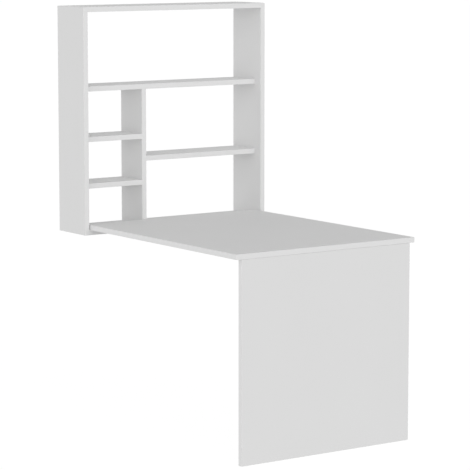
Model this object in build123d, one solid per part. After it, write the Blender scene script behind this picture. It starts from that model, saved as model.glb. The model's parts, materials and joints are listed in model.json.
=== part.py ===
"""Wall-hung secretary desk: an open shelf cabinet, a tabletop that pivots in it, and a folding leg panel.

Millimetres. The origin is on the floor, under the middle of the whole desk. +X is to the right of
someone facing the wall, +Y points to the wall and +Z points up.
"""
import os

from build123d import *

# ---------------------------------------------------------------- driving dimensions
BOARD = 18.0               # thickness of every board
BAND = 1.0                 # thickness of the edging strips

CABINET_WIDTH = 780.0
CABINET_DEPTH = 176.0
CABINET_HEIGHT = 805.0
CABINET_UNDERSIDE = 665.0  # height of the cabinet's lowest edge above the floor
SHELF_SETBACK = 2 * BOARD  # room in front of the shelves for the tabletop's rear edge

LONG_SHELF_TOP = 1189.0
UPPER_CUBBY_TOP = 1010.0
LOWER_CUBBY_TOP = 844.0
BAY_SHELF_TOP = 930.0
CUBBY_WIDTH = 246.0        # clear width between the left side and the divider

TABLE_REACH = 905.0        # tabletop's front edge, ahead of the cabinet's front
TABLE_SIDE_GAP = 3.0       # gap from the tabletop to each side of the cabinet
TABLE_REAR_GAP = 1.0       # gap from the tabletop's round rear edge to the shelves' fronts
TABLE_UNDER_GAP = 0.3      # gap from the tabletop to the bottom board
LEG_INSET = 20.0           # from each side edge of the tabletop to the leg panel
LEG_TOP_GAP = 0.3
FOLD_ANGLE = 87.3          # degrees from open until the tabletop meets the top board's edge

# Knock-down fittings
CAM_RADIUS = 7.5
CAM_HEIGHT = 12.5
CAM_FROM_END = 24.0        # from the end of a board to the centre of its cams
BOLT_RADIUS = 3.0
BOLT_THREAD_RADIUS = 2.5
BOLT_THREAD = 11.0         # length that is screwed into the neighbouring panel
BOLT_BORE_RADIUS = 3.5
DOWEL_RADIUS = 4.0
DOWEL_IN_PANEL = 10.0
DOWEL_IN_BOARD = 20.0
COVER_RADIUS = 8.5
COVER_THICKNESS = 0.8

# Sockets in the rear edges for studs that stand out of the wall
SLEEVE_SPACING = 600.0
SLEEVE_LENGTH = 80.0
SLEEVE_OUTER_RADIUS = 6.0
SLEEVE_BORE_RADIUS = 5.1

# Pivot of the tabletop
PIVOT_PIN_RADIUS = 4.0
PIVOT_PIN_IN_TABLE = 30.0
PIVOT_BUSH_RADIUS = 6.0
PIVOT_BUSH_BORE = 4.05
PIVOT_BUSH_DEPTH = 12.0
PIVOT_FLANGE_RADIUS = 8.5
PIVOT_FLANGE = 2.0

# Magnets that hold the tabletop closed
MAGNET_RADIUS = 5.0
MAGNET_HEIGHT = 4.0
MAGNET_SKIN = 1.0          # board left between a magnet and the tabletop's upper face
MAGNET_SPACING = 300.0

# Butt hinges between the tabletop and the leg panel
HINGE_OFFSET = 3.0         # from the hinge axis to both boards
HINGE_PLACES = (-250.0, 0.0, 250.0)
HINGE_LENGTH = 60.0
HINGE_LEAF_WIDTH = 19.0
HINGE_LEAF = 1.5
KNUCKLES = 5
KNUCKLE_RADIUS = 2.7
KNUCKLE_GAP = 0.3
HINGE_PIN_RADIUS = 1.4
HINGE_RUNNING_FIT = 0.05
SCREW_RADIUS = 1.75
SCREW_HEAD_RADIUS = 3.3
SCREW_LENGTH = 14.0
SCREW_FROM_AXIS = 12.0
SCREW_SPACING = 21.0

# Magnetic catch that holds the leg panel folded
CATCH_SIZE = (44.0, 12.0, 4.5)
CATCH_MAGNET = (18.0, 8.0, 3.0)
CATCH_SCREW_SPACING = 34.0
CATCH_HEIGHT = 60.0        # height of the strike plate above the floor
STRIKE_SIZE = (40.0, 1.0, 14.0)
STRIKE_SCREW_SPACING = 28.0

# ---------------------------------------------------------------- derived places
DEPTH = TABLE_REACH + CABINET_DEPTH
BACK = DEPTH / 2
CABINET_FRONT = BACK - CABINET_DEPTH
SHELF_FRONT = CABINET_FRONT + SHELF_SETBACK
TABLE_FRONT = -DEPTH / 2
TABLE_REAR = SHELF_FRONT - TABLE_REAR_GAP

HALF_WIDTH = CABINET_WIDTH / 2
INNER_HALF = HALF_WIDTH - BOARD
TOP = CABINET_UNDERSIDE + CABINET_HEIGHT
FLOOR_OF_CABINET = CABINET_UNDERSIDE + BOARD
DIVIDER_LEFT = -INNER_HALF + CUBBY_WIDTH
DIVIDER_RIGHT = DIVIDER_LEFT + BOARD

TABLE_HALF = INNER_HALF - TABLE_SIDE_GAP
TABLE_BOTTOM = FLOOR_OF_CABINET + TABLE_UNDER_GAP
TABLE_TOP = TABLE_BOTTOM + BOARD
PIVOT_Y = TABLE_REAR - BOARD / 2
PIVOT_Z = TABLE_BOTTOM + BOARD / 2

LEG_HALF = TABLE_HALF - LEG_INSET
LEG_BACK = TABLE_FRONT + BOARD
LEG_TOP = TABLE_BOTTOM - LEG_TOP_GAP
HINGE_Y = LEG_BACK + HINGE_OFFSET
HINGE_Z = TABLE_BOTTOM - HINGE_OFFSET


# ---------------------------------------------------------------- shapes that repeat
def block(x, y, z):
    """A box between two values along each axis."""
    size = (x[1] - x[0], y[1] - y[0], z[1] - z[0])
    middle = ((x[0] + x[1]) / 2, (y[0] + y[1]) / 2, (z[0] + z[1]) / 2)
    return Pos(*middle) * Box(*size)


def rod(start, direction, length, radius, end_radius=None):
    """A round rod, or a cone if it has an end radius, from a start point along a direction."""
    plane = Plane(origin=start, z_dir=direction)
    if end_radius is None:
        shape = Cylinder(radius, length, align=(Align.CENTER, Align.CENTER, Align.MIN))
    else:
        shape = Cone(radius, end_radius, length, align=(Align.CENTER, Align.CENTER, Align.MIN))
    return plane * shape


def along(point, direction, distance):
    """The point at a distance from another along a direction."""
    return tuple(p + d * distance for p, d in zip(point, direction))


def banded(x, y, z, sides):
    """A board and its edging strips. Each side is an axis letter after a sign, as in -Y."""
    spans = {"X": list(x), "Y": list(y), "Z": list(z)}
    strips = []
    for side in sides:
        end = 0 if side[0] == "-" else 1
        inward = BAND if end == 0 else -BAND
        outer = spans[side[1]][end]
        strip_spans = dict(spans)
        strip_spans[side[1]] = sorted((outer, outer + inward))
        strips.append(block(strip_spans["X"], strip_spans["Y"], strip_spans["Z"]))
        spans[side[1]] = list(spans[side[1]])
        spans[side[1]][end] = outer + inward
    return block(spans["X"], spans["Y"], spans["Z"]), strips


def cut(shape, tools):
    """A shape less each of the tools."""
    for tool in tools:
        shape = shape - tool
    return shape


fittings = {"cam_bolts": [], "cams": [], "cam_covers": [], "dowels": []}


def join(end, inward, cam_side, rows, boards, board, panel):
    """Joins a board's end to a panel by cam bolts and dowels.

    end is the middle of the end face, inward points into the board, cam_side points out of the face
    that the cams are let into, and rows pairs a distance along Y with cam or dowel.
    """
    outward = tuple(-value for value in inward)
    for distance, kind in rows:
        mouth = (end[0], end[1] + distance, end[2])
        if kind == "dowel":
            dowel = rod(along(mouth, outward, DOWEL_IN_PANEL), inward,
                        DOWEL_IN_PANEL + DOWEL_IN_BOARD, DOWEL_RADIUS)
            fittings["dowels"].append(dowel)
            boards[board] = boards[board] - dowel
            boards[panel] = boards[panel] - dowel
            continue
        thread = rod(along(mouth, outward, BOLT_THREAD), inward, BOLT_THREAD, BOLT_THREAD_RADIUS)
        shank = rod(mouth, inward, CAM_FROM_END, BOLT_RADIUS)
        fittings["cam_bolts"].append(thread + shank)
        centre = along(mouth, inward, CAM_FROM_END)
        face = along(centre, cam_side, BOARD / 2)
        into = tuple(-value for value in cam_side)
        pocket = rod(face, into, CAM_HEIGHT, CAM_RADIUS)
        bore = rod(mouth, inward, CAM_FROM_END + BOLT_BORE_RADIUS, BOLT_BORE_RADIUS)
        socket = rod(face, into, CAM_HEIGHT / 4, CAM_RADIUS / 3)
        fittings["cams"].append(cut(pocket, [bore, socket]))
        fittings["cam_covers"].append(rod(face, cam_side, COVER_THICKNESS, COVER_RADIUS)
                                      + rod(face, into, CAM_HEIGHT / 5, CAM_RADIUS / 3))
        boards[board] = cut(boards[board], [pocket, bore])
        boards[panel] = boards[panel] - thread


def countersunk_screw(head, direction, length):
    """A wood screw with its head flush at a point, and the bore that it needs."""
    cone = rod(head, direction, HINGE_LEAF, SCREW_HEAD_RADIUS, SCREW_RADIUS)
    shank = rod(along(head, direction, HINGE_LEAF), direction, length - HINGE_LEAF, SCREW_RADIUS)
    tip_start = along(head, direction, length)
    tip = rod(tip_start, direction, SCREW_RADIUS, SCREW_RADIUS, SCREW_RADIUS / 4)
    whole = cone + shank + tip
    plane = Plane(origin=head, z_dir=direction)
    cross_width = SCREW_RADIUS / 2
    cross_length = SCREW_HEAD_RADIUS
    slots = [plane * Box(cross_length, cross_width, HINGE_LEAF),
             plane * Box(cross_width, cross_length, HINGE_LEAF)]
    return cut(whole, slots), whole


# ---------------------------------------------------------------- boards and their edging
boards = {}
edging = {}

full_depth = (CABINET_FRONT, BACK)
shelf_depth = (SHELF_FRONT, BACK)
full_height = (CABINET_UNDERSIDE, TOP)
inner_width = (-INNER_HALF, INNER_HALF)
cubby_width = (-INNER_HALF, DIVIDER_LEFT)
bay_width = (DIVIDER_RIGHT, INNER_HALF)


def shelf_height(top):
    """Height span of a board whose upper face is at a given height."""
    return (top - BOARD, top)


CABINET_BOARDS = {
    "left_side": ((-HALF_WIDTH, -INNER_HALF), full_depth, full_height, ("-Y", "+Y", "-Z", "+Z")),
    "right_side": ((INNER_HALF, HALF_WIDTH), full_depth, full_height, ("-Y", "+Y", "-Z", "+Z")),
    "top_board": (inner_width, full_depth, shelf_height(TOP), ("-Y", "+Y")),
    "bottom_board": (inner_width, full_depth, shelf_height(FLOOR_OF_CABINET), ("-Y", "+Y")),
    "long_shelf": (inner_width, shelf_depth, shelf_height(LONG_SHELF_TOP), ("-Y", "+Y")),
    "divider": ((DIVIDER_LEFT, DIVIDER_RIGHT), shelf_depth, (FLOOR_OF_CABINET, LONG_SHELF_TOP - BOARD),
                ("-Y", "+Y")),
    "upper_cubby_shelf": (cubby_width, shelf_depth, shelf_height(UPPER_CUBBY_TOP), ("-Y", "+Y")),
    "lower_cubby_shelf": (cubby_width, shelf_depth, shelf_height(LOWER_CUBBY_TOP), ("-Y", "+Y")),
    "bay_shelf": (bay_width, shelf_depth, shelf_height(BAY_SHELF_TOP), ("-Y", "+Y")),
}
for name, (x, y, z, sides) in CABINET_BOARDS.items():
    boards[name], edging[name] = banded(x, y, z, sides)

# The tabletop's rear edge is a half round about the pivot, so that it turns clear of its neighbours.
table_flat, edging["tabletop"] = banded((-TABLE_HALF, TABLE_HALF), (TABLE_FRONT, PIVOT_Y),
                                        (TABLE_BOTTOM, TABLE_TOP), ("-Y", "-X", "+X"))
table_core_half = TABLE_HALF - BAND
round_edge = rod((-table_core_half, PIVOT_Y, PIVOT_Z), (1, 0, 0), 2 * table_core_half, BOARD / 2)
boards["tabletop"] = table_flat + round_edge

boards["leg_panel"], edging["leg_panel"] = banded((-LEG_HALF, LEG_HALF), (TABLE_FRONT, LEG_BACK),
                                                  (0, LEG_TOP), ("-X", "+X", "+Z"))

# ---------------------------------------------------------------- cabinet joints
DEEP_ROWS = ((-40.0, "cam"), (0.0, "dowel"), (40.0, "cam"))
SHALLOW_ROWS = ((-40.0, "dowel"), (0.0, "cam"), (40.0, "dowel"))
DOWN = (0, 0, -1)
UP = (0, 0, 1)
LEFT = (-1, 0, 0)
RIGHT = (1, 0, 0)

cabinet_middle = (CABINET_FRONT + BACK) / 2
shelf_middle = (SHELF_FRONT + BACK) / 2
for name, top, middle in (("top_board", TOP, cabinet_middle),
                          ("bottom_board", FLOOR_OF_CABINET, cabinet_middle),
                          ("long_shelf", LONG_SHELF_TOP, shelf_middle)):
    height = top - BOARD / 2
    join((-INNER_HALF, middle, height), RIGHT, DOWN, DEEP_ROWS, boards, name, "left_side")
    join((INNER_HALF, middle, height), LEFT, DOWN, DEEP_ROWS, boards, name, "right_side")
for name, top in (("upper_cubby_shelf", UPPER_CUBBY_TOP), ("lower_cubby_shelf", LOWER_CUBBY_TOP)):
    height = top - BOARD / 2
    join((-INNER_HALF, shelf_middle, height), RIGHT, DOWN, SHALLOW_ROWS, boards, name, "left_side")
    join((DIVIDER_LEFT, shelf_middle, height), LEFT, DOWN, SHALLOW_ROWS, boards, name, "divider")
bay_height = BAY_SHELF_TOP - BOARD / 2
join((DIVIDER_RIGHT, shelf_middle, bay_height), RIGHT, DOWN, SHALLOW_ROWS, boards, "bay_shelf", "divider")
join((INNER_HALF, shelf_middle, bay_height), LEFT, DOWN, SHALLOW_ROWS, boards, "bay_shelf", "right_side")
divider_middle = (DIVIDER_LEFT + DIVIDER_RIGHT) / 2
join((divider_middle, shelf_middle, LONG_SHELF_TOP - BOARD), DOWN, RIGHT, SHALLOW_ROWS, boards,
     "divider", "long_shelf")
join((divider_middle, shelf_middle, FLOOR_OF_CABINET), UP, RIGHT, SHALLOW_ROWS, boards,
     "divider", "bottom_board")

# ---------------------------------------------------------------- wall sockets
wall_sleeves = []
for name, top in (("top_board", TOP), ("bottom_board", FLOOR_OF_CABINET)):
    for x in (-SLEEVE_SPACING / 2, SLEEVE_SPACING / 2):
        mouth = (x, BACK, top - BOARD / 2)
        hole = rod(mouth, (0, -1, 0), SLEEVE_LENGTH, SLEEVE_OUTER_RADIUS)
        wall_sleeves.append(hole - rod(mouth, (0, -1, 0), SLEEVE_LENGTH, SLEEVE_BORE_RADIUS))
        boards[name] = boards[name] - hole
        edging[name] = [strip - hole for strip in edging[name]]

# ---------------------------------------------------------------- tabletop pivot
pivot_bushes = []
pivot_pins = []
for side, name in ((-1, "left_side"), (1, "right_side")):
    inner_face = (side * INNER_HALF, PIVOT_Y, PIVOT_Z)
    outward = (side, 0, 0)
    seat = rod(inner_face, outward, PIVOT_BUSH_DEPTH, PIVOT_BUSH_RADIUS)
    flange = rod(inner_face, (-side, 0, 0), PIVOT_FLANGE, PIVOT_FLANGE_RADIUS)
    flange_face = along(inner_face, outward, -PIVOT_FLANGE)
    bore = rod(flange_face, outward, PIVOT_FLANGE + PIVOT_BUSH_DEPTH - PIVOT_FLANGE, PIVOT_BUSH_BORE)
    pivot_bushes.append(seat + flange - bore)
    boards[name] = boards[name] - seat
    pin_end = (side * (TABLE_HALF - PIVOT_PIN_IN_TABLE), PIVOT_Y, PIVOT_Z)
    pin_length = PIVOT_PIN_IN_TABLE + TABLE_SIDE_GAP + PIVOT_BUSH_DEPTH - 2 * PIVOT_FLANGE
    pin = rod(pin_end, outward, pin_length, PIVOT_PIN_RADIUS)
    pivot_pins.append(pin)
    boards["tabletop"] = boards["tabletop"] - pin
    edging["tabletop"] = [strip - pin for strip in edging["tabletop"]]

# ---------------------------------------------------------------- magnets that hold the tabletop closed
cabinet_magnets = []
table_magnets = []
magnet_plugs = []
magnet_reach = TOP - BOARD / 2 - PIVOT_Z
magnet_y = PIVOT_Y - magnet_reach
for x in (-MAGNET_SPACING / 2, MAGNET_SPACING / 2):
    disc = rod((x, CABINET_FRONT + BAND, TOP - BOARD / 2), (0, 1, 0), MAGNET_HEIGHT, MAGNET_RADIUS)
    cabinet_magnets.append(disc)
    boards["top_board"] = boards["top_board"] - disc
    disc = rod((x, magnet_y, TABLE_TOP - MAGNET_SKIN), DOWN, MAGNET_HEIGHT, MAGNET_RADIUS)
    plug_length = BOARD - MAGNET_SKIN - MAGNET_HEIGHT
    plug = rod((x, magnet_y, TABLE_BOTTOM), UP, plug_length, MAGNET_RADIUS)
    table_magnets.append(disc)
    magnet_plugs.append(plug)
    boards["tabletop"] = cut(boards["tabletop"], [disc, plug])

# ---------------------------------------------------------------- leg hinges
hinge_table_leaves = []
hinge_leg_leaves = []
hinge_pins = []
hinge_table_screws = []
hinge_leg_screws = []
for place in HINGE_PLACES:
    start = place - HINGE_LENGTH / 2
    step = HINGE_LENGTH / KNUCKLES
    x = (start, start + HINGE_LENGTH)
    table_leaf = block(x, (HINGE_Y, HINGE_Y + HINGE_LEAF_WIDTH), (TABLE_BOTTOM - HINGE_LEAF, TABLE_BOTTOM))
    leg_leaf = block(x, (LEG_BACK, LEG_BACK + HINGE_LEAF), (HINGE_Z - HINGE_LEAF_WIDTH, HINGE_Z))
    for number in range(KNUCKLES):
        left = (start + number * step, HINGE_Y, HINGE_Z)
        inset = (start + number * step + KNUCKLE_GAP / 2, HINGE_Y, HINGE_Z)
        knuckle = rod(inset, RIGHT, step - KNUCKLE_GAP, KNUCKLE_RADIUS)
        clearance = rod(left, RIGHT, step, KNUCKLE_RADIUS + KNUCKLE_GAP)
        if number % 2 == 0:
            table_leaf = table_leaf + knuckle
            leg_leaf = leg_leaf - clearance
        else:
            leg_leaf = leg_leaf + knuckle
            table_leaf = table_leaf - clearance
    pin = rod((start, HINGE_Y, HINGE_Z), RIGHT, HINGE_LENGTH, HINGE_PIN_RADIUS)
    table_leaf = table_leaf - pin
    leg_leaf = leg_leaf - rod((start, HINGE_Y, HINGE_Z), RIGHT, HINGE_LENGTH,
                              HINGE_PIN_RADIUS + HINGE_RUNNING_FIT)
    for shift in (-SCREW_SPACING, 0, SCREW_SPACING):
        head = (place + shift, HINGE_Y + SCREW_FROM_AXIS, TABLE_BOTTOM - HINGE_LEAF)
        screw, bore = countersunk_screw(head, UP, SCREW_LENGTH)
        hinge_table_screws.append(screw)
        table_leaf = table_leaf - bore
        boards["tabletop"] = boards["tabletop"] - bore
        head = (place + shift, LEG_BACK + HINGE_LEAF, HINGE_Z - SCREW_FROM_AXIS)
        screw, bore = countersunk_screw(head, (0, -1, 0), SCREW_LENGTH)
        hinge_leg_screws.append(screw)
        leg_leaf = leg_leaf - bore
        boards["leg_panel"] = boards["leg_panel"] - bore
    hinge_table_leaves.append(table_leaf)
    hinge_leg_leaves.append(leg_leaf)
    hinge_pins.append(pin)

# ---------------------------------------------------------------- catch for the folded leg panel
catch_y = HINGE_Y + HINGE_Z - CATCH_HEIGHT
catch_x = (-CATCH_SIZE[0] / 2, CATCH_SIZE[0] / 2)
catch_case = block(catch_x, (catch_y - CATCH_SIZE[1] / 2, catch_y + CATCH_SIZE[1] / 2),
                   (TABLE_BOTTOM - CATCH_SIZE[2], TABLE_BOTTOM))
catch_magnet = block((-CATCH_MAGNET[0] / 2, CATCH_MAGNET[0] / 2),
                     (catch_y - CATCH_MAGNET[1] / 2, catch_y + CATCH_MAGNET[1] / 2),
                     (TABLE_BOTTOM - CATCH_SIZE[2], TABLE_BOTTOM - CATCH_SIZE[2] + CATCH_MAGNET[2]))
catch_case = catch_case - catch_magnet
catch_screws = []
for x in (-CATCH_SCREW_SPACING / 2, CATCH_SCREW_SPACING / 2):
    screw, bore = countersunk_screw((x, catch_y, TABLE_BOTTOM - CATCH_SIZE[2]), UP, SCREW_LENGTH)
    catch_screws.append(screw)
    catch_case = catch_case - bore
    boards["tabletop"] = boards["tabletop"] - bore

strike_plate = block((-STRIKE_SIZE[0] / 2, STRIKE_SIZE[0] / 2), (LEG_BACK, LEG_BACK + STRIKE_SIZE[1]),
                     (CATCH_HEIGHT - STRIKE_SIZE[2] / 2, CATCH_HEIGHT + STRIKE_SIZE[2] / 2))
strike_screws = []
for x in (-STRIKE_SCREW_SPACING / 2, STRIKE_SCREW_SPACING / 2):
    screw, bore = countersunk_screw((x, LEG_BACK + STRIKE_SIZE[1], CATCH_HEIGHT), (0, -1, 0), SCREW_LENGTH)
    strike_screws.append(screw)
    strike_plate = strike_plate - bore
    boards["leg_panel"] = boards["leg_panel"] - bore

# ---------------------------------------------------------------- nodes
nodes = {name: [board] for name, board in boards.items()}
for name, strips in edging.items():
    nodes[name + "_edging"] = strips
nodes.update(fittings)
nodes["wall_sleeves"] = wall_sleeves
nodes["pivot_bushes"] = pivot_bushes
nodes["pivot_pins"] = pivot_pins
nodes["cabinet_magnets"] = cabinet_magnets
nodes["table_magnets"] = table_magnets
nodes["magnet_plugs"] = magnet_plugs
nodes["hinge_table_leaves"] = hinge_table_leaves
nodes["hinge_leg_leaves"] = hinge_leg_leaves
nodes["hinge_pins"] = hinge_pins
nodes["hinge_table_screws"] = hinge_table_screws
nodes["hinge_leg_screws"] = hinge_leg_screws
nodes["leg_catch_case"] = [catch_case]
nodes["leg_catch_magnet"] = [catch_magnet]
nodes["leg_catch_screws"] = catch_screws
nodes["leg_strike_plate"] = [strike_plate]
nodes["leg_strike_screws"] = strike_screws

os.makedirs("parts", exist_ok=True)
for name, pieces in nodes.items():
    solids = [solid for piece in pieces for solid in piece.solids()]
    shape = solids[0] if len(solids) == 1 else Compound(children=solids)
    export_step(shape, os.path.join("parts", name + ".step"))
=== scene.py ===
import json
import math

import bpy
from mathutils import Matrix, Vector

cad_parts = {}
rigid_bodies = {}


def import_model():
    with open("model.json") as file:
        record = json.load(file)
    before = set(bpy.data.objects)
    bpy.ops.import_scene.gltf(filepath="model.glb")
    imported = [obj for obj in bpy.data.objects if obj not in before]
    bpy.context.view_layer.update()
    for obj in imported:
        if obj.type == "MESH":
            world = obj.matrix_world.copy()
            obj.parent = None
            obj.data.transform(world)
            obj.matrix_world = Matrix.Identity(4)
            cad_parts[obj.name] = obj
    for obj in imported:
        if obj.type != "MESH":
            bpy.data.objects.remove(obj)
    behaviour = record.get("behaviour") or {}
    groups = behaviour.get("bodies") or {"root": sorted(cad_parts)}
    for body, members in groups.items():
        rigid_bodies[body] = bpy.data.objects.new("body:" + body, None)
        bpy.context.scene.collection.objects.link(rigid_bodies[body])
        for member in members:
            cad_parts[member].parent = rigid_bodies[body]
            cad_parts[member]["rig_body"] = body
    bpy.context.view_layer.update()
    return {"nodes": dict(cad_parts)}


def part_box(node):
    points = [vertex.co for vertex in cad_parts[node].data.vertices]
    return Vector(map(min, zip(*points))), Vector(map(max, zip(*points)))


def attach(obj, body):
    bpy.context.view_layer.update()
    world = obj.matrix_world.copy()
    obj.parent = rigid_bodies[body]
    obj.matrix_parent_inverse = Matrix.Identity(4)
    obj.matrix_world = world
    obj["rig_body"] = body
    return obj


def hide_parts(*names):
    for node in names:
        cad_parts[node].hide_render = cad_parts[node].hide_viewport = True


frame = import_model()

# ------------------------------------------------------------------------------------------------
# The camera stands in front of the desk and to its left, a little above the cabinet's top, and looks
# gently down. A long lens keeps the uprights almost parallel.
camera_data = bpy.data.cameras.new("camera")
camera_data.sensor_width = 36
camera_data.lens = 176.7
camera_data.clip_end = 200
camera = bpy.data.objects.new("camera", camera_data)
camera.location = (-4.585, -6.568, 1.752)
camera.rotation_euler = (math.radians(90 - 7.64), 0, math.radians(-34.93))
bpy.context.scene.collection.objects.link(camera)
bpy.context.scene.camera = camera

# ------------------------------------------------------------------------------------------------
# The studio is a white floor inside a tent of soft white light, brightest to the front and the left,
# and dim overhead. The floor glows, so that it stays plain white and takes hardly any shadow.
scene = bpy.context.scene
scene.view_settings.view_transform = "Standard"

TENT_GLOW = 0.32
# The way to each soft box, how sharply it is focused, and its strength.
SOFT_BOXES = (((0, -1, 0), 2, 0.50),
              ((-1, 0, 0), 2, 0.68),
              ((1, 0, 0), 2, 0.16),
              ((0, 1, 0), 2, 0.53),
              ((0, -0.8, 0.6), 6, 0.90),
              ((-0.5, -0.829, 0.25), 24, 0.75))

tent = bpy.data.worlds.new("light_tent")
scene.world = tent
tent.use_nodes = True
tent_nodes = tent.node_tree.nodes
tent_links = tent.node_tree.links
direction = tent_nodes.new("ShaderNodeTexCoord")
glow = None
for way, focus, strength in SOFT_BOXES:
    facing = tent_nodes.new("ShaderNodeVectorMath")
    facing.operation = "DOT_PRODUCT"
    facing.inputs[1].default_value = way
    lit_side = tent_nodes.new("ShaderNodeMath")
    lit_side.operation = "MAXIMUM"
    lit_side.inputs[1].default_value = 0
    falloff = tent_nodes.new("ShaderNodeMath")
    falloff.operation = "POWER"
    falloff.inputs[1].default_value = focus
    total = tent_nodes.new("ShaderNodeMath")
    total.operation = "MULTIPLY_ADD"
    total.inputs[1].default_value = strength
    total.inputs[2].default_value = TENT_GLOW
    tent_links.new(direction.outputs["Generated"], facing.inputs[0])
    tent_links.new(facing.outputs["Value"], lit_side.inputs[0])
    tent_links.new(lit_side.outputs["Value"], falloff.inputs[0])
    tent_links.new(falloff.outputs["Value"], total.inputs[0])
    if glow:
        tent_links.new(glow.outputs["Value"], total.inputs[2])
    glow = total
tent_links.new(glow.outputs["Value"], tent_nodes["Background"].inputs["Color"])

bpy.ops.object.select_all(action="DESELECT")
bpy.ops.mesh.primitive_plane_add(size=140, location=(0, 0, 0))
floor = bpy.context.object
floor.name = "floor"
floor_material = bpy.data.materials.new("pale_floor")
floor_material.use_nodes = True
floor_shader = floor_material.node_tree.nodes["Principled BSDF"]
floor_shader.inputs["Base Color"].default_value = (0.06, 0.06, 0.06, 1)
floor_shader.inputs["Roughness"].default_value = 0.8
floor_shader.inputs["Specular IOR Level"].default_value = 0.0
floor_shader.inputs["Emission Color"].default_value = (1, 1, 1, 1)
floor_shader.inputs["Emission Strength"].default_value = 0.967
floor.data.materials.append(floor_material)
floor.visible_diffuse = False
floor.visible_glossy = False
floor.visible_shadow = False

# ------------------------------------------------------------------------------------------------
# The cabinet's nine boards are 18 mm chipboard faced with white melamine paper, sawn to size and
# bored for their fittings. The sawn edges are barely broken, and show the chips where no strip covers
# them.
MM = 0.001
SAWN_EASE = 0.15 * MM
TOUCH = 0.1 * MM          # closer than this counts as flush
OVERRUN = 1.0 * MM        # how far a cutter runs past a flush face
WELD = 0.001 * MM         # points closer than this are one point
BORE_SIDES = 32
CABINET_BOARDS = ("left_side", "right_side", "top_board", "bottom_board", "long_shelf", "divider",
                  "upper_cubby_shelf", "lower_cubby_shelf", "bay_shelf")
SCREWED_NODES = ("hinge_table_screws", "hinge_leg_screws", "leg_catch_screws", "leg_strike_screws")
BORED_NODES = ("cams", "cam_bolts", "dowels", "wall_sleeves", "pivot_bushes", "pivot_pins",
               "cabinet_magnets", "table_magnets", "magnet_plugs")
SCREW_BORE = 1.7 * MM


def select_only(piece):
    """Makes a piece the only selected object, and the active one."""
    bpy.ops.object.select_all(action="DESELECT")
    piece.select_set(True)
    bpy.context.view_layer.objects.active = piece


def corners(piece):
    """The lowest and highest corners of a piece's mesh."""
    places = [point.co for point in piece.data.vertices]
    low = Vector([min(place[i] for place in places) for i in range(3)])
    high = Vector([max(place[i] for place in places) for i in range(3)])
    return low, high


def solids_in(node):
    """The lowest and highest corners of each separate solid in a CAD node, from left to right."""
    select_only(frame["nodes"][node])
    bpy.ops.object.duplicate()
    bpy.ops.object.mode_set(mode="EDIT")
    bpy.ops.mesh.select_all(action="SELECT")
    bpy.ops.mesh.remove_doubles(threshold=WELD)
    bpy.ops.mesh.separate(type="LOOSE")
    bpy.ops.object.mode_set(mode="OBJECT")
    boxes = [corners(solid) for solid in bpy.context.selected_objects]
    bpy.ops.object.delete()
    return sorted(boxes, key=lambda box: [round(value, 4) for value in box[0]])


def blank(name, low, high):
    """A rectangular blank between two corners."""
    bpy.ops.object.select_all(action="DESELECT")
    bpy.ops.mesh.primitive_cube_add(size=1, location=(Vector(low) + Vector(high)) / 2)
    piece = bpy.context.object
    piece.name = name
    piece.scale = Vector(high) - Vector(low)
    bpy.ops.object.transform_apply(location=True, rotation=True, scale=True)
    return piece


def round_edges(piece, wanted, width, segments):
    """Rounds the edges that wanted() picks by their middle and direction."""
    select_only(piece)
    bpy.ops.object.mode_set(mode="EDIT")
    bpy.ops.mesh.select_mode(type="EDGE")
    bpy.ops.mesh.select_all(action="DESELECT")
    bpy.ops.object.mode_set(mode="OBJECT")
    points = piece.data.vertices
    for edge in piece.data.edges:
        start, end = (points[number].co for number in edge.vertices)
        edge.select = wanted((start + end) / 2, (end - start).normalized())
    bpy.ops.object.mode_set(mode="EDIT")
    bpy.ops.mesh.bevel(offset=width, segments=segments, affect="EDGES", clamp_overlap=True)
    bpy.ops.object.mode_set(mode="OBJECT")


def every_edge(middle, direction):
    """Picks all the edges."""
    return True


def runs_along(direction, axis):
    """Whether an edge's direction is the same as an axis."""
    return abs(direction[axis]) > 0.9


def cut_away(piece, cutter, operation="DIFFERENCE"):
    """Takes a cutter's shape out of a piece, or joins it on, and removes the cutter."""
    select_only(piece)
    bpy.ops.object.modifier_add(type="BOOLEAN")
    modifier = piece.modifiers[-1]
    modifier.solver = "EXACT"
    modifier.operation = operation
    modifier.object = cutter
    bpy.ops.object.modifier_apply(modifier=modifier.name)
    select_only(cutter)
    bpy.ops.object.delete()


def long_axis(low, high):
    """The axis of a round fitting: the one whose size differs most from the other two."""
    sizes = high - low
    return max(range(3), key=lambda i: abs(2 * sizes[i] - sizes[i - 1] - sizes[i - 2]))


def drill(piece, low, high, radius=None):
    """Bores the hole for a round fitting between two corners, where it reaches into the piece."""
    piece_low, piece_high = corners(piece)
    if any(high[i] < piece_low[i] + TOUCH or low[i] > piece_high[i] - TOUCH for i in range(3)):
        return
    axis = long_axis(low, high)
    start, end = low[axis], high[axis]
    if abs(start - piece_low[axis]) < TOUCH:
        start -= OVERRUN
    if abs(end - piece_high[axis]) < TOUCH:
        end += OVERRUN
    middle = (low + high) / 2
    middle[axis] = (start + end) / 2
    turn = ((0, math.pi / 2, 0), (math.pi / 2, 0, 0), (0, 0, 0))[axis]
    if radius is None:
        radius = (high[axis - 1] - low[axis - 1]) / 2
    bpy.ops.object.select_all(action="DESELECT")
    bpy.ops.mesh.primitive_cylinder_add(vertices=BORE_SIDES, radius=radius, depth=end - start,
                                        location=middle, rotation=turn)
    cut_away(piece, bpy.context.object)


def smooth(piece, angle=32):
    """Shades the rounded faces as round, and keeps the flat ones flat up to their edges."""
    select_only(piece)
    bpy.ops.object.shade_smooth_by_angle(angle=math.radians(angle))
    bpy.ops.object.modifier_add(type="WEIGHTED_NORMAL")
    piece.modifiers[-1].keep_sharp = True
    bpy.ops.object.modifier_apply(modifier=piece.modifiers[-1].name)


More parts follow.
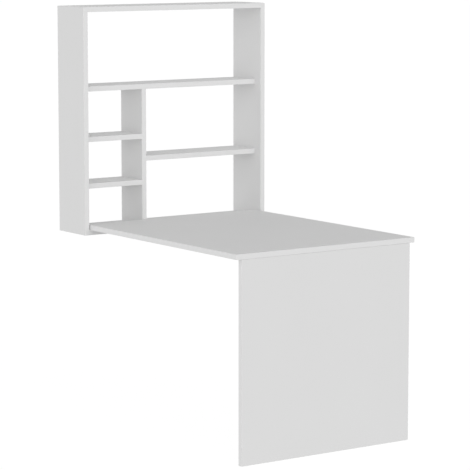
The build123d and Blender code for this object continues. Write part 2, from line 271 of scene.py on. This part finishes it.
def fit(piece, node, slot, *materials):
    """Finishes a piece that stands for a CAD node and moves with its body."""
    for material in materials:
        piece.data.materials.append(material)
    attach(piece, frame["nodes"][node]["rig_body"])
    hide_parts(node)


def new_material(name):
    """A new node material, and its shader."""
    material = bpy.data.materials.new(name)
    material.use_nodes = True
    return material, material.node_tree.nodes["Principled BSDF"]


def pattern(material, kind, scale, detail=None, stretch=None):
    """A texture that is fixed to the object, and may be stretched along its axes."""
    nodes = material.node_tree.nodes
    links = material.node_tree.links
    place = nodes.new("ShaderNodeTexCoord").outputs["Object"]
    if stretch:
        mapping = nodes.new("ShaderNodeMapping")
        mapping.inputs["Scale"].default_value = stretch
        links.new(place, mapping.inputs["Vector"])
        place = mapping.outputs["Vector"]
    texture = nodes.new(kind)
    texture.inputs["Scale"].default_value = scale
    if detail is not None:
        texture.inputs["Detail"].default_value = detail
    links.new(place, texture.inputs["Vector"])
    return texture


def shade_by(material, source, dark, light, span=(0, 1)):
    """Colours a material from dark to light as a texture's value goes over a span."""
    nodes = material.node_tree.nodes
    links = material.node_tree.links
    ramp = nodes.new("ShaderNodeValToRGB")
    for element, position, colour in zip(ramp.color_ramp.elements, span, (dark, light)):
        element.position = position
        element.color = (*colour, 1)
    links.new(source, ramp.inputs["Fac"])
    links.new(ramp.outputs["Color"], nodes["Principled BSDF"].inputs["Base Color"])


def gloss_by(material, source, smoothest, roughest):
    """Varies a material's roughness with a texture's value."""
    nodes = material.node_tree.nodes
    links = material.node_tree.links
    gloss = nodes.new("ShaderNodeMapRange")
    gloss.inputs["To Min"].default_value = smoothest
    gloss.inputs["To Max"].default_value = roughest
    links.new(source, gloss.inputs["Value"])
    links.new(gloss.outputs["Result"], nodes["Principled BSDF"].inputs["Roughness"])


def emboss_by(material, source, strength, depth):
    """Gives a material the fine relief of a texture."""
    nodes = material.node_tree.nodes
    links = material.node_tree.links
    relief = nodes.new("ShaderNodeBump")
    relief.inputs["Strength"].default_value = strength
    relief.inputs["Distance"].default_value = depth
    links.new(source, relief.inputs["Height"])
    links.new(relief.outputs["Normal"], nodes["Principled BSDF"].inputs["Normal"])


def melamine():
    """White melamine paper: satin, with a pearl texture too fine to see from a distance."""
    material, shader = new_material("white_melamine")
    shader.inputs["Specular IOR Level"].default_value = 0.12
    cloud = pattern(material, "ShaderNodeTexNoise", 5, 4).outputs["Fac"]
    shade_by(material, cloud, (0.781, 0.781, 0.780), (0.788, 0.788, 0.788), (0.3, 0.7))
    pearl = pattern(material, "ShaderNodeTexNoise", 1600, 3).outputs["Fac"]
    gloss_by(material, pearl, 0.54, 0.64)
    emboss_by(material, pearl, 0.15, 0.1 * MM)
    return material


def chipboard():
    """The sawn core of a board: pressed wood chips of many shades, rough and slightly open."""
    material, shader = new_material("sawn_chipboard")
    shader.inputs["Roughness"].default_value = 0.85
    chips = pattern(material, "ShaderNodeTexVoronoi", 650).outputs["Color"]
    shade_by(material, chips, (0.20, 0.11, 0.05), (0.58, 0.42, 0.25))
    dust = pattern(material, "ShaderNodeTexNoise", 1500, 5).outputs["Fac"]
    emboss_by(material, dust, 0.5, 0.3 * MM)
    return material


def face_board(board, low, high, rounded_from=None):
    """Gives the melamine to a board's two broad faces, and to its rounded rear edge, if it has one."""
    thin = min(range(3), key=lambda i: high[i] - low[i])
    for face in board.data.polygons:
        broad = abs(face.normal[thin]) > 0.5
        rounded = rounded_from is not None and face.center.y > rounded_from
        face.material_index = 0 if broad or rounded else 1


white_melamine = melamine()
sawn_chipboard = chipboard()
fittings = {node: solids_in(node) for node in BORED_NODES + SCREWED_NODES}

for node in CABINET_BOARDS:
    low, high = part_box(node)
    board = blank(node + "_board", low, high)
    round_edges(board, every_edge, SAWN_EASE, 1)
    for bored in BORED_NODES:
        for hole in fittings[bored]:
            drill(board, *hole)
    smooth(board)
    fit(board, node, "melamine_board", white_melamine, sawn_chipboard)
    face_board(board, low, high)

# ------------------------------------------------------------------------------------------------
# The tabletop is a board of the same make. Its rear edge is a half round about the pivot pins, faced
# with the same melamine, so that it turns clear of the bottom board and the shelves.
low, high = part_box("tabletop")
tabletop = blank("tabletop_board", low, high)
table_half_thickness = (high.z - low.z) / 2
rear = high.y
rear_start = rear - table_half_thickness


def rear_edge(middle, direction):
    """Picks the two long edges at the back."""
    return runs_along(direction, 0) and abs(middle.y - rear) < TOUCH


def sawn_edge(middle, direction):
    """Picks the edges at the front and the sides."""
    return middle.y < rear_start


round_edges(tabletop, rear_edge, table_half_thickness * 0.999, 8)
round_edges(tabletop, sawn_edge, SAWN_EASE, 1)
for bored in BORED_NODES:
    for hole in fittings[bored]:
        drill(tabletop, *hole)
for screwed in SCREWED_NODES:
    for hole in fittings[screwed]:
        drill(tabletop, *hole, radius=SCREW_BORE)
smooth(tabletop)
fit(tabletop, "tabletop", "melamine_board", white_melamine, sawn_chipboard)
face_board(tabletop, low, high, rear_start)

# ------------------------------------------------------------------------------------------------
# The leg is one plain board. Its sides and its upper end are edged, since they show when it is folded,
# and its lower end, which stands on the floor, is left as sawn.
low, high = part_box("leg_panel")
leg = blank("leg_panel_board", low, high)
round_edges(leg, every_edge, SAWN_EASE, 1)
for screwed in SCREWED_NODES:
    for hole in fittings[screwed]:
        drill(leg, *hole, radius=SCREW_BORE)
smooth(leg)
fit(leg, "leg_panel", "melamine_board", white_melamine, sawn_chipboard)
face_board(leg, low, high)

# ------------------------------------------------------------------------------------------------
# Edging strips are 1 mm white plastic, glued along the sawn edges and trimmed with a small radius.
# Their inner arrises stay sharp, so a hairline shows beside each strip.
STRIP_ROUND = 0.4 * MM


def strips_of(node):
    """The corners of each edging strip of a board, with its thin axis and the side it is on."""
    board_low, board_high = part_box(node)
    low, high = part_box(node + "_edging")
    found = []
    for axis in (1, 0, 2):
        if low[axis] < board_low[axis] - TOUCH:
            strip_high = high.copy()
            strip_high[axis] = board_low[axis]
            found.append((low.copy(), strip_high, axis, -1))
        if high[axis] > board_high[axis] + TOUCH:
            strip_low = low.copy()
            strip_low[axis] = board_high[axis]
            found.append((strip_low, high.copy(), axis, 1))
        low[axis] = max(low[axis], board_low[axis])
        high[axis] = min(high[axis], board_high[axis])
    return found


def outer_arris(low, high, thin, side):
    """What picks the two long edges of a strip's outer face."""
    lengthways = max(range(3), key=lambda i: high[i] - low[i])
    outer = high[thin] if side > 0 else low[thin]

    def wanted(middle, direction):
        """Picks an edge along the strip in its outer face."""
        return runs_along(direction, lengthways) and abs(middle[thin] - outer) < TOUCH

    return wanted


def edging_plastic():
    """White edging plastic, rolled smooth."""
    material, shader = new_material("white_edging")
    shader.inputs["Specular IOR Level"].default_value = 0.35
    rolling = pattern(material, "ShaderNodeTexNoise", 700, 2).outputs["Fac"]
    shade_by(material, rolling, (0.800, 0.800, 0.799), (0.812, 0.812, 0.812))
    gloss_by(material, rolling, 0.40, 0.50)
    emboss_by(material, rolling, 0.1, 0.1 * MM)
    return material


def join_all(pieces, name):
    """Joins pieces into one object of separate solids."""
    bpy.ops.object.select_all(action="DESELECT")
    for piece in pieces:
        piece.select_set(True)
    bpy.context.view_layer.objects.active = pieces[0]
    if len(pieces) > 1:
        bpy.ops.object.join()
    pieces[0].name = name
    return pieces[0]


white_edging = edging_plastic()
for node in CABINET_BOARDS + ("tabletop", "leg_panel"):
    strips = []
    for low, high, thin, side in strips_of(node):
        strip = blank(node + "_strip", low, high)
        round_edges(strip, outer_arris(low, high, thin, side), STRIP_ROUND, 3)
        for bored in ("wall_sleeves", "pivot_pins"):
            for hole in fittings[bored]:
                drill(strip, *hole)
        strips.append(strip)
    edging = join_all(strips, node + "_strips")
    smooth(edging)
    fit(edging, node + "_edging", "edging", white_edging)

# ------------------------------------------------------------------------------------------------
# Cams are die-cast zinc drums let into the undersides of the boards. Each has a cross recess for the
# driver and a slot that grips the head of its bolt.
CAM_HEIGHT = 12.5
CAM_OUTLINE = ((7.1, 0), (7.4, 0.3), (7.4, 8.6), (6.9, 9.0), (6.9, 9.8), (7.4, 10.2), (7.4, 12.2),
               (7.1, CAM_HEIGHT), (5.6, CAM_HEIGHT), (5.4, 12.1))
HEAD_SLOT_RADIUS = 3.1 * MM
HEAD_SLOT_LENGTH = 10 * MM
HEAD_SLOT_HEIGHT = 3.5 * MM


def turned(name, outline, sides=32, through=False):
    """A round piece about the Z axis. The outline lists its radius and height, in millimetres. With
    through, the outline runs right round and the piece is a tube."""
    radius, height = outline[0]
    bpy.ops.object.select_all(action="DESELECT")
    bpy.ops.mesh.primitive_circle_add(vertices=sides, radius=radius * MM, fill_type="NGON",
                                      location=(0, 0, height * MM))
    piece = bpy.context.object
    piece.name = name
    bpy.ops.object.transform_apply(location=True, rotation=True, scale=True)
    bpy.ops.object.mode_set(mode="EDIT")
    bpy.ops.mesh.select_mode(type="FACE")
    bpy.ops.mesh.select_all(action="SELECT")
    for next_radius, next_height in outline[1:]:
        rise = (0, 0, (next_height - height) * MM)
        bpy.ops.mesh.extrude_region_move(TRANSFORM_OT_translate={"value": rise})
        widening = next_radius / radius
        bpy.ops.transform.resize(value=(widening, widening, 1), center_override=(0, 0, 0))
        radius, height = next_radius, next_height
    if through:
        bpy.ops.mesh.select_all(action="DESELECT")
        bpy.ops.object.mode_set(mode="OBJECT")
        for face in piece.data.polygons:
            face.select = len(face.vertices) == sides
        bpy.ops.object.mode_set(mode="EDIT")
        bpy.ops.mesh.delete(type="ONLY_FACE")
        bpy.ops.mesh.select_all(action="SELECT")
        bpy.ops.mesh.remove_doubles(threshold=WELD)
    bpy.ops.mesh.select_all(action="SELECT")
    bpy.ops.mesh.normals_make_consistent(inside=False)
    bpy.ops.object.mode_set(mode="OBJECT")
    return piece


def set_out(name, model, places):
    """Copies a model to each place and joins the copies. A place is a point, the way that the
    model's Z axis points there, and the way that its X axis does, or None."""
    copies = []
    for point, along, across in places:
        z_axis = Vector(along).normalized()
        x_axis = Vector(across).normalized() if across else z_axis.orthogonal().normalized()
        turn = Matrix((x_axis, z_axis.cross(x_axis), z_axis)).transposed().to_4x4()
        select_only(model)
        bpy.ops.object.duplicate()
        copy = bpy.context.object
        copy.matrix_world = Matrix.Translation(point) @ turn
        bpy.ops.object.transform_apply(location=True, rotation=True, scale=True)
        copies.append(copy)
    select_only(model)
    bpy.ops.object.delete()
    return join_all(copies, name)


def cross_cutter(width, length, depth):
    """A cross-shaped cutter about the Z axis whose arms taper towards its lower end, in millimetres."""
    taper = 0.55
    arms = []
    for size in ((length, width), (width, length)):
        arm = blank("arm", (-size[0] * MM / 2, -size[1] * MM / 2, -depth * MM),
                    (size[0] * MM / 2, size[1] * MM / 2, depth * MM))
        bpy.ops.object.mode_set(mode="EDIT")
        bpy.ops.mesh.select_all(action="DESELECT")
        bpy.ops.object.mode_set(mode="OBJECT")
        for point in arm.data.vertices:
            point.select = point.co.z < 0
        bpy.ops.object.mode_set(mode="EDIT")
        bpy.ops.transform.resize(value=(taper, taper, 1), center_override=(0, 0, -depth * MM))
        bpy.ops.object.mode_set(mode="OBJECT")
        arms.append(arm)
    cut_away(arms[0], arms[1], "UNION")
    return arms[0]


def plain_metal(name, dark, light, grain, roughness, relief_depth):
    """A metal finish that varies a little in shade, gloss and relief at the scale of its grain."""
    material, shader = new_material(name)
    shader.inputs["Metallic"].default_value = 1.0
    crystals = pattern(material, "ShaderNodeTexNoise", grain, 4).outputs["Fac"]
    shade_by(material, crystals, dark, light, (0.3, 0.7))
    gloss_by(material, crystals, *roughness)
    emboss_by(material, crystals, 0.3, relief_depth)
    return material


def nearest(boxes, point):
    """The middle of the box whose middle is nearest to a point."""
    middles = [(low + high) / 2 for low, high in boxes]
    return min(middles, key=lambda middle: (middle - point).length)


def open_side(low, high):
    """The way that a cam's recess faces: down, or to the right in the upright divider."""
    return Vector((1, 0, 0)) if long_axis(low, high) == 0 else Vector((0, 0, -1))


def end_towards(low, high, way):
    """The middle of a box's face on the side that a direction points to."""
    half = (high - low) / 2
    reach = sum(abs(way[i]) * half[i] for i in range(3))
    return (low + high) / 2 + way * reach


cam = turned("cam", CAM_OUTLINE, sides=48)
recess = cross_cutter(1.6, 7.6, 4.0)
recess.location.z = CAM_HEIGHT * MM
cut_away(cam, recess)
bpy.ops.object.select_all(action="DESELECT")
bpy.ops.mesh.primitive_cylinder_add(vertices=BORE_SIDES, radius=HEAD_SLOT_RADIUS, depth=HEAD_SLOT_LENGTH,
                                    location=(HEAD_SLOT_LENGTH / 2, 0, HEAD_SLOT_HEIGHT),
                                    rotation=(0, math.pi / 2, 0))
cut_away(cam, bpy.context.object)

cam_places = []
for low, high in fittings["cams"]:
    side = open_side(low, high)
    middle = (low + high) / 2
    towards_bolt = nearest(fittings["cam_bolts"], middle) - middle
    towards_bolt -= side * towards_bolt.dot(side)
    cam_places.append((end_towards(low, high, -side), side, towards_bolt))
cams = set_out("cam_drums", cam, cam_places)
smooth(cams)
cast_zinc = plain_metal("cast_zinc", dark=(0.42, 0.42, 0.43), light=(0.55, 0.55, 0.56), grain=900,
                        roughness=(0.42, 0.62), relief_depth=0.2 * MM)
fit(cams, "cams", "die_cast_zinc", cast_zinc)

# ------------------------------------------------------------------------------------------------
# Cam bolts are turned zinc-plated steel. The coarse thread is driven into the neighbouring panel up
# to a collar, and the waisted head goes into the cam.
THREAD_TURNS = 6
THREAD_PITCH = 1.6
BOLT_THREAD = [step for turn in range(THREAD_TURNS)
               for step in ((1.9, 1.1 + turn * THREAD_PITCH), (2.5, 1.9 + turn * THREAD_PITCH))]
BOLT_COLLAR = [(1.9, 10.6), (1.9, 11.0), (2.8, 11.05), (2.95, 11.3), (2.95, 12.0), (2.8, 12.2)]
BOLT_SHANK = [(2.2, 12.3), (2.2, 29.8), (1.6, 30.4), (1.6, 32.2)]
BOLT_HEAD = [(2.9, 32.9), (2.95, 33.3), (2.8, 34.3), (2.0, 35.0)]
BOLT_OUTLINE = [(0.5, 0), (1.7, 0.9)] + BOLT_THREAD + BOLT_COLLAR + BOLT_SHANK + BOLT_HEAD
bolt = turned("bolt", BOLT_OUTLINE, sides=24)
bolt_places = []
for low, high in fittings["cam_bolts"]:
    axis = long_axis(low, high)
    middle = (low + high) / 2
    drum = nearest(fittings["cams"], middle)
    way = Vector([0, 0, 0])
    way[axis] = math.copysign(1, drum[axis] - middle[axis])
    bolt_places.append((end_towards(low, high, -way), way, None))
bolts = set_out("cam_bolt_set", bolt, bolt_places)
smooth(bolts)
plated_steel = plain_metal("zinc_plated_steel", dark=(0.60, 0.61, 0.63), light=(0.72, 0.73, 0.75),
                           grain=1400, roughness=(0.24, 0.38), relief_depth=0.05 * MM)
fit(bolts, "cam_bolts", "plated_steel", plated_steel)

# ------------------------------------------------------------------------------------------------
# Cover caps are moulded white plastic. A short peg presses into the cam's recess, and a thin domed
# disc hides the drum.
COVER_OUTLINE = ((1.9, 0), (2.3, 0.4), (2.3, 2.4), (8.2, 2.5), (8.5, 2.65), (8.5, 2.85), (8.2, 3.05),
                 (7.0, 3.2), (4.5, 3.28), (1.5, 3.3))
SPARK_SCALE = 2500


def moulded_plastic(name, dark, light, roughness, clearness=0.0):
    """Moulded plastic with a fine spark-eroded texture. Clearness lets some light into it."""
    material, shader = new_material(name)
    shader.inputs["Subsurface Weight"].default_value = clearness
    shader.inputs["Subsurface Scale"].default_value = 2 * MM
    sparks = pattern(material, "ShaderNodeTexVoronoi", SPARK_SCALE).outputs["Distance"]
    shade_by(material, sparks, dark, light)
    gloss_by(material, sparks, *roughness)
    emboss_by(material, sparks, 0.25, 0.05 * MM)
    return material


cover_places = []
for low, high in solids_in("cam_covers"):
    side = open_side(low, high)
    cover_places.append((end_towards(low, high, -side), side, None))
covers = set_out("cam_cover_set", turned("cover", COVER_OUTLINE, sides=40), cover_places)
smooth(covers)
white_plastic = moulded_plastic("moulded_white_plastic", dark=(0.74, 0.74, 0.735),
                                light=(0.80, 0.80, 0.797), roughness=(0.42, 0.55))
fit(covers, "cam_covers", "white_plastic", white_plastic)

# ------------------------------------------------------------------------------------------------
# Dowels are beech, fluted lengthwise so that the glue can escape, with chamfered ends. They are glued
# in beside the cam bolts, and keep the boards from turning.
DOWEL_SIDES = 40
DOWEL_LENGTH = 30
DOWEL_RADIUS = 3.95
DOWEL_END_RADIUS = 3.1
DOWEL_CHAMFER = 1.1
FLUTE_SCALE = 0.93         # a flute's radius, as a share of the dowel's
DOWEL_OUTLINE = ((DOWEL_END_RADIUS, 0), (DOWEL_RADIUS, DOWEL_CHAMFER),
                 (DOWEL_RADIUS, DOWEL_LENGTH - DOWEL_CHAMFER), (DOWEL_END_RADIUS, DOWEL_LENGTH))
dowel = turned("dowel", DOWEL_OUTLINE, sides=DOWEL_SIDES)
bpy.ops.object.mode_set(mode="EDIT")
bpy.ops.mesh.select_mode(type="VERT")
bpy.ops.mesh.select_all(action="DESELECT")
bpy.ops.object.mode_set(mode="OBJECT")
for point in dowel.data.vertices:
    step = round(math.atan2(point.co.y, point.co.x) / math.tau * DOWEL_SIDES)
    point.select = step % 2 == 1 and 1 * MM < point.co.z < (DOWEL_LENGTH - 1) * MM
bpy.ops.object.mode_set(mode="EDIT")
bpy.ops.transform.resize(value=(FLUTE_SCALE, FLUTE_SCALE, 1),
                         center_override=(0, 0, DOWEL_LENGTH * MM / 2))
bpy.ops.object.mode_set(mode="OBJECT")


def beech():
    """Raw beech: pale brown, with short darker flecks along the grain."""
    material, shader = new_material("raw_beech")
    shader.inputs["Roughness"].default_value = 0.7
    flecks = pattern(material, "ShaderNodeTexNoise", 1, 5, stretch=(60, 900, 900)).outputs["Fac"]
    shade_by(material, flecks, (0.40, 0.22, 0.10), (0.60, 0.39, 0.20), (0.35, 0.6))
    emboss_by(material, flecks, 0.3, 0.1 * MM)
    return material


dowel_places = []
for low, high in fittings["dowels"]:
    way = Vector([0, 0, 0])
    way[long_axis(low, high)] = 1
    dowel_places.append((end_towards(low, high, -way), way, None))
dowels = set_out("dowel_set", dowel, dowel_places)
smooth(dowels, 20)
fit(dowels, "dowels", "beech", beech())

# ------------------------------------------------------------------------------------------------
# Wall sockets are steel sleeves pressed into the rear edges of the top and bottom boards. They slide
# over studs that stand out of the wall.
SLEEVE_OUTLINE = ((5.1, 0), (6.0, 0), (6.0, 79.7), (5.8, 80.0), (5.45, 80.0), (5.1, 79.6), (5.1, 0))
BACKWARDS = Vector((0, 1, 0))


def placed_along(boxes, way):
    """A place for a turned piece in each box, with its Z axis along a given way."""
    return [(end_towards(low, high, -way), way, None) for low, high in boxes]


sleeves = set_out("wall_sleeve_set", turned("sleeve", SLEEVE_OUTLINE, sides=40, through=True),
                  placed_along(fittings["wall_sleeves"], BACKWARDS))
smooth(sleeves)
nickel_steel = plain_metal("nickel_plated_steel", dark=(0.56, 0.55, 0.53), light=(0.61, 0.60, 0.58),
                           grain=900, roughness=(0.26, 0.36), relief_depth=0.02 * MM)
fit(sleeves, "wall_sleeves", "hinge_steel", nickel_steel)

# ------------------------------------------------------------------------------------------------
# Pivot bushes are moulded nylon, pressed into the cabinet's sides from within. A flange keeps the
# tabletop centred, and a blind bore takes the pivot pin.
BUSH_OUTLINE = ((5.6, 0), (6.0, 0.4), (6.0, 12.0), (8.2, 12.0), (8.5, 12.3), (8.5, 13.6), (8.1, 14.0),
                (4.5, 14.0), (4.05, 13.6), (4.05, 2.0))
bush_places = []
for low, high in fittings["pivot_bushes"]:
    way = Vector((-math.copysign(1, low.x + high.x), 0, 0))
    bush_places.append((end_towards(low, high, -way), way, None))
bushes = set_out("pivot_bush_pair", turned("bush", BUSH_OUTLINE, sides=40), bush_places)
smooth(bushes)
nylon = moulded_plastic("nylon", dark=(0.70, 0.70, 0.67), light=(0.78, 0.78, 0.75),
                        roughness=(0.30, 0.42), clearness=0.3)
fit(bushes, "pivot_bushes", "nylon", nylon)

# ------------------------------------------------------------------------------------------------
# Pivot pins are plain zinc-plated steel rods, glued into the tabletop's side edges, with chamfered
# ends.
PIN_OUTLINE = ((3.6, 0), (4.0, 0.4), (4.0, 40.2), (3.3, 41.0))
pin_places = []
for low, high in fittings["pivot_pins"]:
    way = Vector((math.copysign(1, low.x + high.x), 0, 0))
    pin_places.append((end_towards(low, high, -way), way, None))
pivot_pins = set_out("pivot_pin_pair", turned("pin", PIN_OUTLINE, sides=40), pin_places)
smooth(pivot_pins)
fit(pivot_pins, "pivot_pins", "plated_steel", plated_steel)

# ------------------------------------------------------------------------------------------------
# Disc magnets hold the tabletop closed. Two sit behind the top board's front strip and two under the
# tabletop's upper face, where white plastic plugs shut their bores.
MAGNET_OUTLINE = ((4.6, 0), (5.0, 0.35), (5.0, 3.65), (4.6, 4.0))
PLUG_OUTLINE = ((4.4, 0), (4.8, 0.6), (4.8, 11.6), (5.0, 11.8), (5.0, 12.8), (4.6, 13.0), (2.0, 13.0),
                (1.8, 12.6))
DOWNWARDS = Vector((0, 0, -1))
magnet_nickel = plain_metal("magnet_nickel", dark=(0.60, 0.59, 0.56), light=(0.68, 0.67, 0.64), grain=300,
                            roughness=(0.12, 0.22), relief_depth=0.02 * MM)
for node, way, name in (("cabinet_magnets", BACKWARDS, "cabinet_magnet_pair"),
                        ("table_magnets", DOWNWARDS, "table_magnet_pair")):
    magnets = set_out(name, turned("magnet", MAGNET_OUTLINE, sides=40), placed_along(fittings[node], way))
    smooth(magnets)
    fit(magnets, node, "magnet", magnet_nickel)
plugs = set_out("magnet_plug_pair", turned("plug", PLUG_OUTLINE, sides=40),
                placed_along(fittings["magnet_plugs"], DOWNWARDS))
smooth(plugs)
fit(plugs, "magnet_plugs", "white_plastic", white_plastic)

# ------------------------------------------------------------------------------------------------
# Three butt hinges join the leg to the tabletop. Each pair of steel leaves is stamped, rolled into
# knuckles around a pin, countersunk and nickel plated.
KNUCKLES = 5
KNUCKLE_GAP = 0.3 * MM
KNUCKLE_RADIUS = 2.7 * MM
KNUCKLE_EASE = 0.2 * MM
PIN_BORE_RADIUS = 1.44 * MM
LEAF_THICKNESS = 1.5 * MM
LEAF_CORNER = 3.0 * MM
FAR_FROM_PIN = 10 * MM
STAMPED_EASE = 0.12 * MM
COUNTERSINK_OUTLINE = ((4.0, -0.4), (3.4, 0), (1.9, 1.6), (1.9, 4.0))
UPWARDS = Vector((0, 0, 1))
FORWARDS = Vector((0, -1, 0))
hinge_pins = solids_in("hinge_pins")
pin_y = (hinge_pins[0][0].y + hinge_pins[0][1].y) / 2
pin_z = (hinge_pins[0][0].z + hinge_pins[0][1].z) / 2


def lay_rod(name, start, end, radius):
    """A rod about the hinges' axis, between two places along it."""
    bpy.ops.object.select_all(action="DESELECT")
    bpy.ops.mesh.primitive_cylinder_add(vertices=BORE_SIDES, radius=radius, depth=end - start,
                                        location=((start + end) / 2, pin_y, pin_z),
                                        rotation=(0, math.pi / 2, 0))
    rod = bpy.context.object
    rod.name = name
    bpy.ops.object.transform_apply(location=True, rotation=True, scale=True)
    return rod


def countersink(plate, screws, way):
    """Sinks a conical hole in a plate for each screw whose tip points a given way."""
    plate_low, plate_high = corners(plate)
    for low, high in screws:
        middle = (low + high) / 2
        if plate_low.x < middle.x < plate_high.x:
            cutter = set_out("sinker", turned("sinker", COUNTERSINK_OUTLINE),
                             placed_along([(low, high)], way))
            cut_away(plate, cutter)


def hinge_leaf(name, low, high, first_knuckle, screws, way):
    """One leaf with every other knuckle. The plate lies between two corners, away from the pin on
    one side, and its screws point a given way."""
    leaf = blank(name, low, high)
    thin = min(range(3), key=lambda i: high[i] - low[i])

    def free_corner(middle, direction):
        """Picks the two short edges through the plate that are away from the pin."""
        from_pin = math.hypot(middle.y - pin_y, middle.z - pin_z)
        return runs_along(direction, thin) and from_pin > FAR_FROM_PIN

    round_edges(leaf, free_corner, LEAF_CORNER, 6)
    round_edges(leaf, every_edge, STAMPED_EASE, 1)
    step = (high.x - low.x) / KNUCKLES
    for number in range(KNUCKLES):
        left = low.x + number * step
        if number % 2 == first_knuckle:
            knuckle = lay_rod("knuckle", left + KNUCKLE_GAP / 2, left + step - KNUCKLE_GAP / 2,
                              KNUCKLE_RADIUS)
            round_edges(knuckle, lambda middle, direction: not runs_along(direction, 0), KNUCKLE_EASE, 1)
            cut_away(leaf, knuckle, "UNION")
        else:
            room = lay_rod("room", left, left + step, KNUCKLE_RADIUS + KNUCKLE_GAP)
            cut_away(leaf, room)
    bore = lay_rod("bore", low.x - OVERRUN, high.x + OVERRUN, PIN_BORE_RADIUS)
    cut_away(leaf, bore)
    countersink(leaf, screws, way)
    return leaf


for node, first_knuckle, screwed, way in (("hinge_table_leaves", 0, "hinge_table_screws", UPWARDS),
                                          ("hinge_leg_leaves", 1, "hinge_leg_screws", FORWARDS)):
    leaves = []
    for low, high in solids_in(node):
        low = low.copy()
        high = high.copy()
        low.x = round(low.x, 4)
        high.x = round(high.x, 4)
        if way == UPWARDS:
            low.y = pin_y
            low.z = high.z - LEAF_THICKNESS
        else:
            high.y = low.y + LEAF_THICKNESS
            high.z = pin_z
        leaves.append(hinge_leaf(node + "_leaf", low, high, first_knuckle, fittings[screwed], way))
    leaf_set = join_all(leaves, node + "_set")
    smooth(leaf_set)
    fit(leaf_set, node, "hinge_steel", nickel_steel)

# ------------------------------------------------------------------------------------------------
# Hinge pins are drawn steel wire with rounded ends. They are tight in the tabletop's leaves, and the
# leg's leaves turn on them.
HINGE_PIN_OUTLINE = ((0.6, 0), (1.1, 0.15), (1.4, 0.6), (1.4, 59.4), (1.1, 59.85), (0.6, 60.0))
RIGHTWARDS = Vector((1, 0, 0))
pins = set_out("hinge_pin_set", turned("hinge_pin", HINGE_PIN_OUTLINE, sides=24),
               placed_along(hinge_pins, RIGHTWARDS))
smooth(pins)
fit(pins, "hinge_pins", "plated_steel", plated_steel)

# ------------------------------------------------------------------------------------------------
# Countersunk chipboard screws, zinc plated, with a cross recess and a deep thread that runs to the
# point, hold the leaves, the catch and its strike plate.
SCREW_TURNS = 9
SCREW_PITCH = 1.3
SCREW_TOP = 15.75
SCREW_THREAD = [step for turn in range(SCREW_TURNS)
                for step in ((0.75 + 0.055 * turn, 1.2 + turn * SCREW_PITCH),
                             (1.1 + 0.075 * turn, 1.8 + turn * SCREW_PITCH))]
SCREW_SHANK = [(1.3, 13.0), (1.3, 13.9)]
SCREW_HEAD = [(1.7, 14.2), (3.25, 15.6), (3.3, 15.7), (3.2, SCREW_TOP), (2.2, SCREW_TOP)]
SCREW_OUTLINE = [(0.15, 0)] + SCREW_THREAD + SCREW_SHANK + SCREW_HEAD


def screw_model():
    """One screw with its point at the origin and its head towards Z."""
    screw = turned("screw", SCREW_OUTLINE, sides=24)
    recess = cross_cutter(0.75, 3.6, 1.5)
    recess.location.z = SCREW_TOP * MM
    cut_away(screw, recess)
    return screw


for node, way in (("hinge_table_screws", UPWARDS), ("hinge_leg_screws", FORWARDS),
                  ("leg_catch_screws", UPWARDS), ("leg_strike_screws", FORWARDS)):
    places = [(end_towards(low, high, way), -way, None) for low, high in fittings[node]]
    screws = set_out(node + "_set", screw_model(), places)
    smooth(screws)
    fit(screws, node, "plated_steel", plated_steel)

# ------------------------------------------------------------------------------------------------
# A magnetic catch under the tabletop holds the folded leg. The case is moulded white plastic with a
# pocket for the magnet, and the strike plate on the leg is stamped steel.
CASE_CORNER = 4.5 * MM
CASE_ROUND = 0.6 * MM
BAR_ROUND = 0.3 * MM
STRIKE_CORNER = 2.5 * MM
low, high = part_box("leg_catch_case")
case_bottom = low.z
case = blank("leg_catch_body", low, high)
round_edges(case, lambda middle, direction: runs_along(direction, 2), CASE_CORNER, 8)
round_edges(case, lambda middle, direction: abs(middle.z - case_bottom) < TOUCH, CASE_ROUND, 3)
magnet_low, magnet_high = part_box("leg_catch_magnet")
pocket = blank("pocket", magnet_low - Vector((0, 0, OVERRUN)), magnet_high)
cut_away(case, pocket)
countersink(case, fittings["leg_catch_screws"], UPWARDS)
smooth(case)
fit(case, "leg_catch_case", "white_plastic", white_plastic)

catch_magnet = blank("leg_catch_bar", magnet_low, magnet_high)
round_edges(catch_magnet, every_edge, BAR_ROUND, 2)
smooth(catch_magnet)
fit(catch_magnet, "leg_catch_magnet", "magnet", magnet_nickel)

low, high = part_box("leg_strike_plate")
strike = blank("leg_strike", low, high)
round_edges(strike, lambda middle, direction: runs_along(direction, 1), STRIKE_CORNER, 6)
round_edges(strike, every_edge, STAMPED_EASE, 1)
countersink(strike, fittings["leg_strike_screws"], FORWARDS)
smooth(strike)
fit(strike, "leg_strike_plate", "hinge_steel", nickel_steel)
